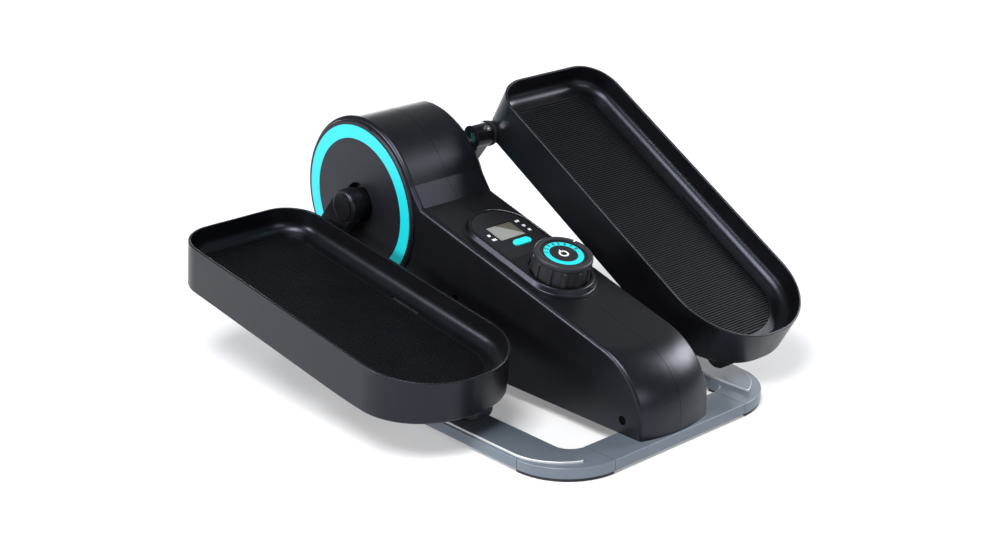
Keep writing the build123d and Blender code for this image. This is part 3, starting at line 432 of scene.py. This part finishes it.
def rounded_bar(x, y, length, width, angle, radius):
    """The outline of a flat bar with rounded corners, centred at (x, y) and turned by an angle in degrees."""
    turn = math.radians(angle)
    points = []
    for corner, (sx, sy) in enumerate(((1, 1), (-1, 1), (-1, -1), (1, -1))):
        for step in range(CORNER_STEPS + 1):
            a = math.radians(90 * corner + 90 * step / CORNER_STEPS)
            px = sx * (length / 2 - radius) + radius * math.cos(a)
            py = sy * (width / 2 - radius) + radius * math.sin(a)
            turned_x = px * math.cos(turn) - py * math.sin(turn)
            turned_y = px * math.sin(turn) + py * math.cos(turn)
            points.append((x + turned_x, y + turned_y))
    return points


def band(inner, outer, start, end, steps):
    """A flat arc between two radii and two angles, in degrees."""
    angles = [math.radians(start + (end - start) * i / steps) for i in range(steps + 1)]
    return [(outer * math.cos(a), outer * math.sin(a)) for a in angles] + [
        (inner * math.cos(a), inner * math.sin(a)) for a in reversed(angles)
    ]


# ------------------------------------------------------------------ foot mats

TRAY_WIDTH = 149.5
TRAY_LENGTH = 374.6
TOE_RADIUS = 37.2
HEEL_RADIUS = 69.9
MAT_INSET = 21.6
MAT_BOTTOM = -25.3
MAT_TOP = -23.35
RIB_PITCH = 2.65
RIB_HEIGHT = 1.4
MAT_BORDER = 1.3
# The mat is this much shorter than its recess at each end.
MAT_GAP = 0.05
MAT_CHAMFER = 0.25
# How far a step from the border down to a groove leans, along the mat, and half of it across the mat.
LEAN_ALONG = 0.15
HALF_LEAN_ACROSS = 0.12
# Half the length of the shortest rib.
SHORTEST_HALF = 0.4
# One rib and its groove along the mat: (distance, 1 on the rib or 0 in the groove).
RIB_PROFILE = ((0.5, 0), (0.7, 1), (1.9, 1), (2.1, 0))


def mat_half_width(s):
    """Half the mat's width at a distance behind the toe edge of the pedal."""
    half = TRAY_WIDTH / 2 - MAT_INSET
    toe, heel = TOE_RADIUS - MAT_INSET, HEEL_RADIUS - MAT_INSET
    from_toe, from_heel = s - MAT_INSET, TRAY_LENGTH - MAT_INSET - s
    if from_toe < toe:
        return half - toe + math.sqrt(max(0.0, toe**2 - (toe - from_toe) ** 2))
    if from_heel < heel:
        return half - heel + math.sqrt(max(0.0, heel**2 - (heel - from_heel) ** 2))
    return half


def ribbed_mat(side):
    """The mat with its ribs: one closed surface, with a plain border as high as the ribs."""
    place = pedal_frame(side)
    start, end = MAT_INSET + MAT_GAP, TRAY_LENGTH - MAT_INSET - MAT_GAP
    rows = [(start, 1), (start + MAT_BORDER, 1), (start + MAT_BORDER + LEAN_ALONG, 0)]
    ribs = int((end - start - 2 * MAT_BORDER - 1.0) / RIB_PITCH)
    first = start + (end - start - ribs * RIB_PITCH) / 2
    for i in range(ribs):
        s = first + i * RIB_PITCH
        rows += [(s + step, raised) for step, raised in RIB_PROFILE]
    rows += [(end - MAT_BORDER - LEAN_ALONG, 0), (end - MAT_BORDER, 1), (end, 1)]
    verts, faces = [], []
    for s, raised in rows:
        edge = mat_half_width(s)
        border = max(SHORTEST_HALF, edge - MAT_BORDER)
        inner = MAT_TOP if raised else MAT_TOP - RIB_HEIGHT
        half = (
            (edge, MAT_BOTTOM),
            (edge, MAT_TOP - MAT_CHAMFER),
            (edge - MAT_CHAMFER, MAT_TOP),
            (border + HALF_LEAN_ACROSS, MAT_TOP),
            (border - HALF_LEAN_ACROSS, inner),
        )
        verts += [(-x, -s, z) for x, z in half]
        verts += [(x, -s, z) for x, z in reversed(half)]
    width = 2 * len(half)
    for i in range(len(rows) - 1):
        a, b = i * width, (i + 1) * width
        faces += [(a + j, b + j, b + j + 1, a + j + 1) for j in range(width - 1)]
        faces.append((a + width - 1, b + width - 1, b, a))
    faces.append(tuple(range(width)))
    last = (len(rows) - 1) * width
    faces.append(tuple(range(last + width - 1, last - 1, -1)))
    body = f"{side}_pedal"
    made = piece(f"{side}_ribbed_mat", verts, faces, place, MAT_RUBBER, body, "mat_rubber", 25.0)
    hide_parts(f"{side}_mat")


for side in SIDES:
    ribbed_mat(side)

# ------------------------------------------------------------------ resistance knob and its dial

KNOB_RADIUS = 29.0
KNOB_BOTTOM = 4.2
KNOB_TOP_HEIGHT = 26.8
KNOB_RECESS = 22.5
KNOB_SEAT = 23.2
RIBS = 12
RIB_BASE = 27.2
TOP_RADIUS = 28.4
RIB_HALF_WIDTH = 2.0
RIB_TOP = 20.8
POINTER_ANGLE = 90.0 - 65.7
SPINDLE_BORE = 4.55
SLEEVE_RADIUS = 8.0
SLEEVE_END = -10.0
KNOB_INSIDE = 26.0
KNOB_TOP_WALL = 3.0
# The knob's rounded top edge.
EDGE_WIDTH, EDGE_HEIGHT = 2.2, 2.4
EDGE_STEPS = 7


def ribbed(angle, radius, height):
    """Upright finger ribs with rounded upper ends, standing on the knob's side."""
    if radius != RIB_BASE:
        return radius
    turn = (angle - math.radians(POINTER_ANGLE)) * RIBS / (2 * math.pi)
    across = abs(turn - round(turn)) * 2 * math.pi / RIBS * KNOB_RADIUS / RIB_HALF_WIDTH
    along = max(0.0, height - RIB_TOP + RIB_HALF_WIDTH) / RIB_HALF_WIDTH
    away = math.hypot(across, along)
    if away >= 1:
        return radius
    return radius + (KNOB_RADIUS - RIB_BASE) * min(1.0, 1.6 * math.sqrt(1 - away**2))


def knob_profile():
    """The knob's section: up the outside, over the edge, down the dial's recess and the sleeve, and back."""
    side = [(RIB_BASE - 0.4, KNOB_BOTTOM), (RIB_BASE, KNOB_BOTTOM + 0.4)]
    side += [(RIB_BASE, KNOB_BOTTOM + 2.0 + i * 2.0) for i in range(7)]
    side += [(RIB_BASE, RIB_TOP - RIB_HALF_WIDTH + i * 0.22) for i in range(10)]
    shoulder = KNOB_TOP_HEIGHT - EDGE_HEIGHT
    side += [(RIB_BASE + 0.1, RIB_TOP + 0.5), (TOP_RADIUS, RIB_TOP + 1.6)]
    for step in range(EDGE_STEPS + 1):
        a = math.radians(90 * step / EDGE_STEPS)
        reach = TOP_RADIUS - EDGE_WIDTH + EDGE_WIDTH * math.cos(a)
        side.append((reach, shoulder + EDGE_HEIGHT * math.sin(a)))
    side += [(KNOB_RECESS + 0.7, KNOB_TOP_HEIGHT), (KNOB_RECESS + 0.2, KNOB_TOP_HEIGHT - 0.2),
             (KNOB_RECESS, KNOB_TOP_HEIGHT - 0.7), (KNOB_RECESS, KNOB_SEAT), (SPINDLE_BORE, KNOB_SEAT),
             (SPINDLE_BORE, SLEEVE_END), (SLEEVE_RADIUS, SLEEVE_END),
             (SLEEVE_RADIUS, KNOB_SEAT - KNOB_TOP_WALL), (KNOB_INSIDE, KNOB_SEAT - KNOB_TOP_WALL),
             (KNOB_INSIDE, KNOB_BOTTOM)]
    return side


turned = lathe(knob_profile(), 420, ribbed)
knob = piece("ribbed_knob", *turned, KNOB, KNOB_TOP, "knob", "knob_plastic", 42.0)
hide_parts("resistance_knob")

DIAL_TOP = 25.3
RING_INNER, RING_OUTER = 13.8, 19.3
PRINT = 0.12


def ring_profile(inner, outer, low, high, edge=0.05):
    """A flat ring's section, with its upper edges broken."""
    return [(inner, low), (outer, low), (outer, high - edge), (outer - edge, high),
            (inner + edge, high), (inner, high - edge)]


ring = lathe(ring_profile(RING_INNER, RING_OUTER, DIAL_TOP - 0.4, DIAL_TOP + PRINT), 128)
piece("dial_teal_ring", *ring, KNOB, TEAL, "base", "accent_teal")
POINTER_RADIUS = 26.0
pointer = prism(rounded_bar(0, 0, 4.6, 1.5, 0, 0.4), KNOB_TOP_HEIGHT - 1.0, KNOB_TOP_HEIGHT + 0.02)
pointer_turn = Matrix.Rotation(math.radians(POINTER_ANGLE), 4, "Z")
pointer_place = KNOB @ pointer_turn @ Matrix.Translation((POINTER_RADIUS, 0, 0))
piece("knob_pointer", *pointer, pointer_place, WHITE_INK, "knob", "knob_plastic")

# The centre of the dial has a plain open ring with a small tick, not a letter.
mark = merged(prism(band(3.3, 4.9, 110, 430, 40), DIAL_TOP - 0.3, DIAL_TOP + PRINT),
              prism(rounded_bar(0, 4.6, 1.3, 4.2, 0, 0.3), DIAL_TOP - 0.3, DIAL_TOP + PRINT))
piece("dial_centre_mark", *mark, KNOB, WHITE_INK, "base", "accent_teal")


def figure(name, text, size, place, material, body, slot, height, weight):
    """A small printed figure as a thin solid. Weight makes its strokes thicker."""
    curve = bpy.data.curves.new(name, "FONT")
    curve.body = text
    curve.size = size
    curve.align_x, curve.align_y = "CENTER", "CENTER"
    curve.extrude = height / 2
    curve.offset = weight
    curve.resolution_u = 3
    holder = bpy.data.objects.new(name + "_outline", curve)
    bpy.context.scene.collection.objects.link(holder)
    bpy.context.view_layer.update()
    mesh = bpy.data.meshes.new_from_object(holder.evaluated_get(bpy.context.evaluated_depsgraph_get()))
    bpy.data.objects.remove(holder)
    bpy.data.curves.remove(curve)
    verts = [tuple(v.co) for v in mesh.vertices]
    faces = [tuple(p.vertices) for p in mesh.polygons]
    bpy.data.meshes.remove(mesh)
    made = piece(name, verts, faces, place, material, body, slot, 30.0)
    weld = bmesh.new()
    weld.from_mesh(made.data)
    bmesh.ops.remove_doubles(weld, verts=weld.verts, dist=1e-6)
    weld.to_mesh(made.data)
    weld.free()
    return made


# The dial's numbers, from 1 up, go clockwise round the teal ring.
NUMBERS = 8
NUMBER_START, NUMBER_STEP = -58.5, 20.7
NUMBER_SIZE, NUMBER_HEIGHT, NUMBER_WEIGHT = 5.2, 0.14, 0.16
for level in range(NUMBERS):
    clockwise = NUMBER_START + NUMBER_STEP * level
    turn = Matrix.Rotation(math.radians(-clockwise), 4, "Z")
    lift = Matrix.Translation((0, (RING_INNER + RING_OUTER) / 2, DIAL_TOP + PRINT))
    figure(f"dial_number_{level + 1}", str(level + 1), NUMBER_SIZE, KNOB @ turn @ lift, DARK_INK,
           "base", "accent_teal", NUMBER_HEIGHT, NUMBER_WEIGHT)

# ------------------------------------------------------------------ display marks

PANEL_TOP = 5.9
BAR_LENGTH, BAR_WIDTH, BAR_STEP, BAR_CORNER = 3.4, 1.15, 1.75, 0.3
# Plain bars in the places of the small words: (x, distance down the slope, how many bars).
MARK_GROUPS = ((21.5, 65.0, 3), (22.5, 74.0, 2), (23.0, 82.0, 2), (-22.5, 74.0, 2), (-22.0, 81.5, 3))
marks = []
for x, s, bars in MARK_GROUPS:
    for bar in range(bars):
        shift = (bar - (bars - 1) / 2) * BAR_STEP
        outline = rounded_bar(x + shift, -s, BAR_LENGTH, BAR_WIDTH, 90, BAR_CORNER)
        marks.append(prism(outline, PANEL_TOP - 0.2, PANEL_TOP + 0.05))
piece("panel_marks", *merged(*marks), CONSOLE, WHITE_INK, "base", "panel_black")

WINDOW_X, WINDOW_S = -0.5, 73.5
WINDOW_WIDTH, WINDOW_HEIGHT, WINDOW_GAP = 32.4, 25.0, 0.2
BLOCK_WIDTH, BLOCK_HEIGHT, BLOCK_BOTTOM = 38.0, 30.0, -5.6
plate_outline = rounded_bar(0, 0, WINDOW_WIDTH - WINDOW_GAP, WINDOW_HEIGHT - WINDOW_GAP, 0, 0.3)
plate = prism(plate_outline, SCREEN_TOP - 1.0, SCREEN_TOP)
block = prism(rounded_bar(0, 0, BLOCK_WIDTH, BLOCK_HEIGHT, 0, 1.0), BLOCK_BOTTOM, SCREEN_TOP - 0.7)
screen_place = CONSOLE @ Matrix.Translation((WINDOW_X, -WINDOW_S, 0))
screen = piece("display_screen", *merged(block, plate), screen_place, display_with_painted_shadow(), "base", "display_grey")
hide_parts("display_module", "display_window")

# ------------------------------------------------------------------ camera, floor and light

CAMERA_PLACE = Vector((-1.09205, -1.23450, 0.71582))
LENS, SENSOR_WIDTH = 64.90, 36.0
YAW, PITCH, ROLL = (math.radians(v) for v in (41.52, 20.60, -0.75))
ahead = Vector((math.sin(YAW) * math.cos(PITCH), math.cos(YAW) * math.cos(PITCH), -math.sin(PITCH)))
level_right = Vector((math.cos(YAW), -math.sin(YAW), 0))
level_up = level_right.cross(ahead)
right = math.cos(ROLL) * level_right + math.sin(ROLL) * level_up
up = -math.sin(ROLL) * level_right + math.cos(ROLL) * level_up
camera = bpy.data.objects.new("camera", bpy.data.cameras.new("camera"))
bpy.context.scene.collection.objects.link(camera)
camera.data.sensor_width = SENSOR_WIDTH
camera.data.lens = LENS
camera_turn = Matrix((right, up, -ahead)).transposed().to_4x4()
camera.matrix_world = Matrix.Translation(CAMERA_PLACE) @ camera_turn
bpy.context.scene.camera = camera


FLOOR_REACH = 6.0
SWEEP_START, SWEEP_RADIUS, SWEEP_STEPS = 3.0, 2.5, 12
SWEEP_HEIGHT = 6.0
# The floor lies this far under the pads, so that the two never share a surface.
FLOOR_DROP = 0.0002
FLOOR_GLOW = 0.22


def studio_floor():
    """A wide pale sweep: flat round the object, then curving up far behind it."""
    across = [FLOOR_REACH * step / 2 for step in range(-2, 3)]
    along = [(-FLOOR_REACH, 0.0), (0.0, 0.0), (SWEEP_START, 0.0)]
    for step in range(1, SWEEP_STEPS + 1):
        a = math.radians(90 * step / SWEEP_STEPS)
        along.append((SWEEP_START + SWEEP_RADIUS * math.sin(a), SWEEP_RADIUS - SWEEP_RADIUS * math.cos(a)))
    along.append((SWEEP_START + SWEEP_RADIUS, SWEEP_HEIGHT))
    away = Vector((math.sin(YAW), math.cos(YAW), 0))
    verts = []
    for distance, height in along:
        lift = Vector((0, 0, height - FLOOR_DROP))
        verts += [tuple(away * distance + level_right * x + lift) for x in across]
    count = len(across)
    faces = []
    for i in range(len(along) - 1):
        near, far = i * count, (i + 1) * count
        faces += [(near + j, near + j + 1, far + j + 1, far + j) for j in range(count - 1)]
    mesh = bpy.data.meshes.new("studio_floor")
    mesh.from_pydata(verts, [], faces)
    mesh.shade_smooth()
    made = Shader(
        "floor_paper", Specular_IOR_Level=0.1, Roughness=0.9,
        Emission_Color=(1, 1, 1, 1), Emission_Strength=FLOOR_GLOW,
    )
    paper = made.ramp(made.noise(3.0, 2.0), 0.2, 0.8, ((0.60, 0.60, 0.605), (0.63, 0.63, 0.635)))
    made.link(paper, made.shader.inputs["Base Color"])
    mesh.materials.append(made.material)
    floor = bpy.data.objects.new("studio_floor", mesh)
    bpy.context.scene.collection.objects.link(floor)


def softbox(name, place, target, width, height, power):
    """A rectangular area light that faces its target. Power is in watts."""
    light = bpy.data.lights.new(name, "AREA")
    light.shape = "RECTANGLE"
    light.size, light.size_y = width, height
    light.energy = power
    made = bpy.data.objects.new(name, light)
    bpy.context.scene.collection.objects.link(made)
    made.location = place
    made.rotation_mode = "QUATERNION"
    made.rotation_quaternion = (Vector(target) - Vector(place)).to_track_quat("-Z", "Y")


studio_floor()
softbox("top_box", (-1.05, -0.5, 2.0), (0, 0, 0.1), 1.0, 1.1, 62)
softbox("left_box", (-2.3, 0.9, 0.9), (-0.3, 0.2, 0.0), 0.9, 0.7, 56)
softbox("right_box", (2.0, -0.7, 1.25), (0, 0, 0.1), 0.9, 0.9, 46)
softbox("back_box", (1.8, 2.4, 0.46), (0.0, 0.15, 0.15), 2.4, 0.46, 44)
softbox("front_box", (-0.2, -2.4, 0.9), (0, -0.1, 0.05), 1.4, 0.6, 16)
world = bpy.data.worlds.new("studio")
world.use_nodes = True
sky = world.node_tree.nodes["Background"]
sky.inputs["Color"].default_value = (0.9, 0.93, 1, 1)
sky.inputs["Strength"].default_value = 0.22
bpy.context.scene.world = world
bpy.context.scene.view_settings.view_transform = "Standard"
bpy.context.scene.view_settings.look = "None"
